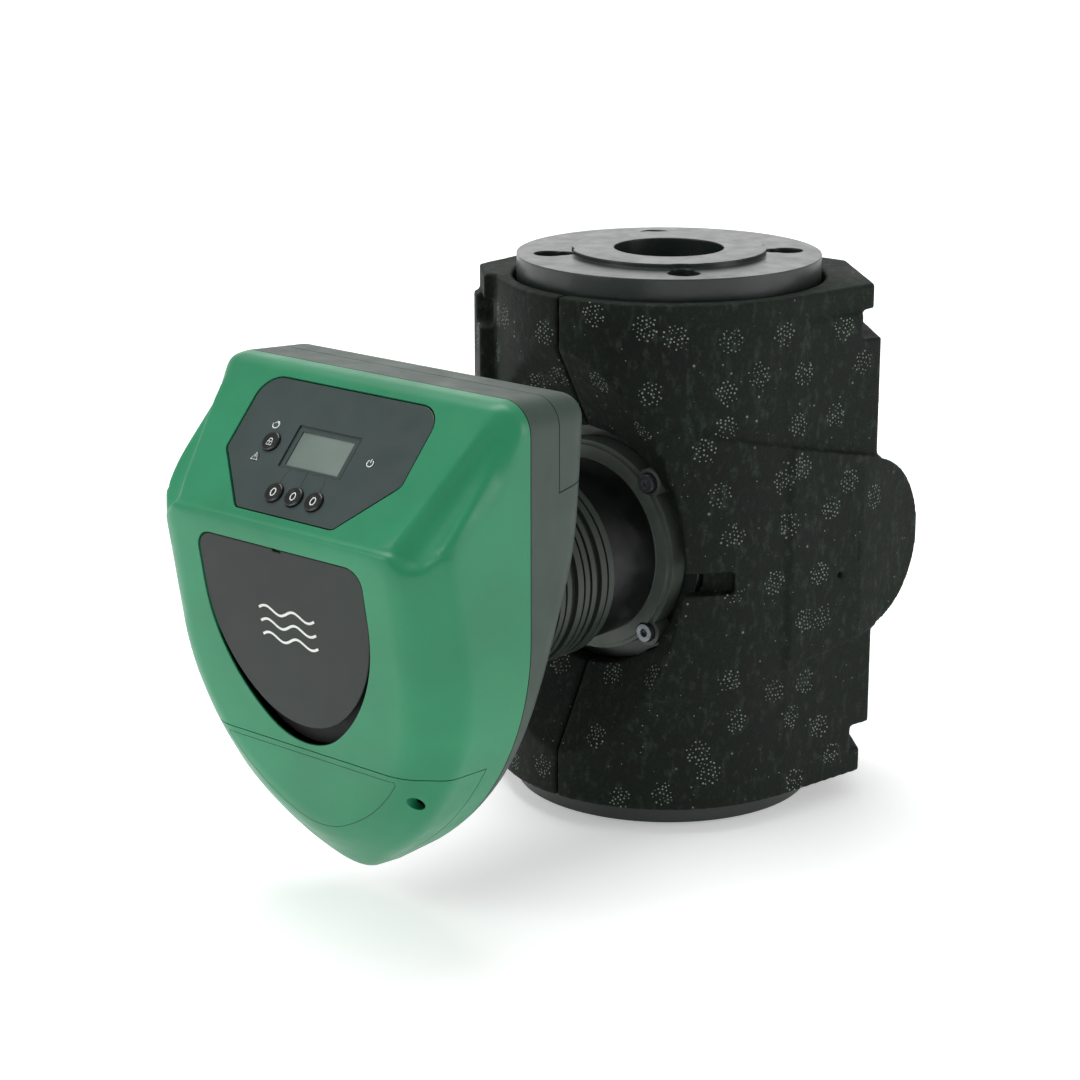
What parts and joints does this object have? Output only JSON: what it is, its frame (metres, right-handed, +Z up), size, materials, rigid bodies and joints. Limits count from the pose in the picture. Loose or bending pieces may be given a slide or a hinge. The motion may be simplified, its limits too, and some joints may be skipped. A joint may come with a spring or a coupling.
{
  "type": "circulator pump",
  "caption": "Wet-rotor flanged circulator pump with black foam insulation shells, an aluminium motor and a green and grey control head.",
  "frame": {"origin": "centre of the lower flange's sealing face, on the pipe axis", "axes": "+Z up the pipe axis, -Y towards the motor and the control head's display, +X to the right of someone who faces the display"},
  "size_m": [0.242, 0.446, 0.34],
  "materials": {
    "painted_iron": "cast iron, dark grey-green electrocoat",
    "stainless": "turned and pressed stainless steel",
    "carbon_ceramic": "ground carbon and ceramic",
    "seal_rubber": "matt",
    "lamination_steel": "stacked laminations",
    "copper_winding": "enamelled copper wire",
    "cast_aluminium": "die cast, bead blasted",
    "zinc_steel": "zinc plated",
    "grey_plastic": "fine moulded texture",
    "black_plastic": "moulded",
    "board_green": "solder mask",
    "connector_green": "moulded",
    "green_plastic": "satin, moulded",
    "panel_plastic": "satin membrane",
    "clear_window": "clear",
    "lcd_body": "grey-green liquid crystal",
    "lamp_lens": "diffusing lens",
    "black_gloss": "satin gloss",
    "button_plastic": "satin",
    "foam_black": "moulded bead foam with a few light beads"
  },
  "bodies": {
    "casing": {"bearing_plate": "stainless", "body_o_ring": "seal_rubber", "button_switches": "black_plastic", "cable_glands": "black_plastic", "capacitors": "black_plastic", "choke": "copper_winding", "cover_seal": "seal_rubber", "display_board": "board_green", "display_panel": "panel_plastic", "front_bearing": "carbon_ceramic", "front_cover": "green_plastic", "heat_sink": "cast_aluminium", "housing_screws": "zinc_steel", "insulation_left": "foam_black", "insulation_right": "foam_black", "lcd_module": "lcd_body", "lcd_window": "clear_window", "main_board": "board_green", "motor_casing": "cast_aluminium", "motor_screws": "zinc_steel", "power_module": "black_plastic", "pump_body": "painted_iron", "rear_bearing": "carbon_ceramic", "rear_bearing_carrier": "stainless", "rear_cap": "grey_plastic", "rear_housing": "grey_plastic", "rotor_can": "stainless", "stator_coils": "copper_winding", "stator_core": "lamination_steel", "status_lamps": "lamp_lens", "terminal_block": "connector_green", "terminal_box": "grey_plastic", "terminal_cover": "green_plastic", "terminal_cover_screws": "zinc_steel", "trim_plate": "black_gloss", "wear_ring": "stainless"},
    "rotor": {"impeller": "stainless", "impeller_nut": "stainless", "rotor_shaft": "stainless", "rotor_magnet": "stainless", "thrust_ring": "carbon_ceramic"},
    "button_left": {"button_left": "button_plastic"},
    "button_middle": {"button_middle": "button_plastic"},
    "button_right": {"button_right": "button_plastic"},
    "button_lock": {"button_lock": "button_plastic"}
  },
  "joints": [
    {"name": "rotor_spin", "type": "hinge", "parent": "casing", "child": "rotor", "pos_m": [0, -0.06, 0.169], "axis": [0, -1, 0], "continuous": true},
    {"name": "button_left_press", "type": "slide", "parent": "casing", "child": "button_left", "axis": [0, 0.736, -0.677], "range_m": [0, 0.0012], "stiffness_N_per_m": 900, "springref_m": -0.0003},
    {"name": "button_middle_press", "type": "slide", "parent": "casing", "child": "button_middle", "axis": [0, 0.736, -0.677], "range_m": [0, 0.0012], "stiffness_N_per_m": 900, "springref_m": -0.0003},
    {"name": "button_right_press", "type": "slide", "parent": "casing", "child": "button_right", "axis": [0, 0.736, -0.677], "range_m": [0, 0.0012], "stiffness_N_per_m": 900, "springref_m": -0.0003},
    {"name": "button_lock_press", "type": "slide", "parent": "casing", "child": "button_lock", "axis": [0, 0.736, -0.677], "range_m": [0, 0.0012], "stiffness_N_per_m": 900, "springref_m": -0.0003}
  ]
}
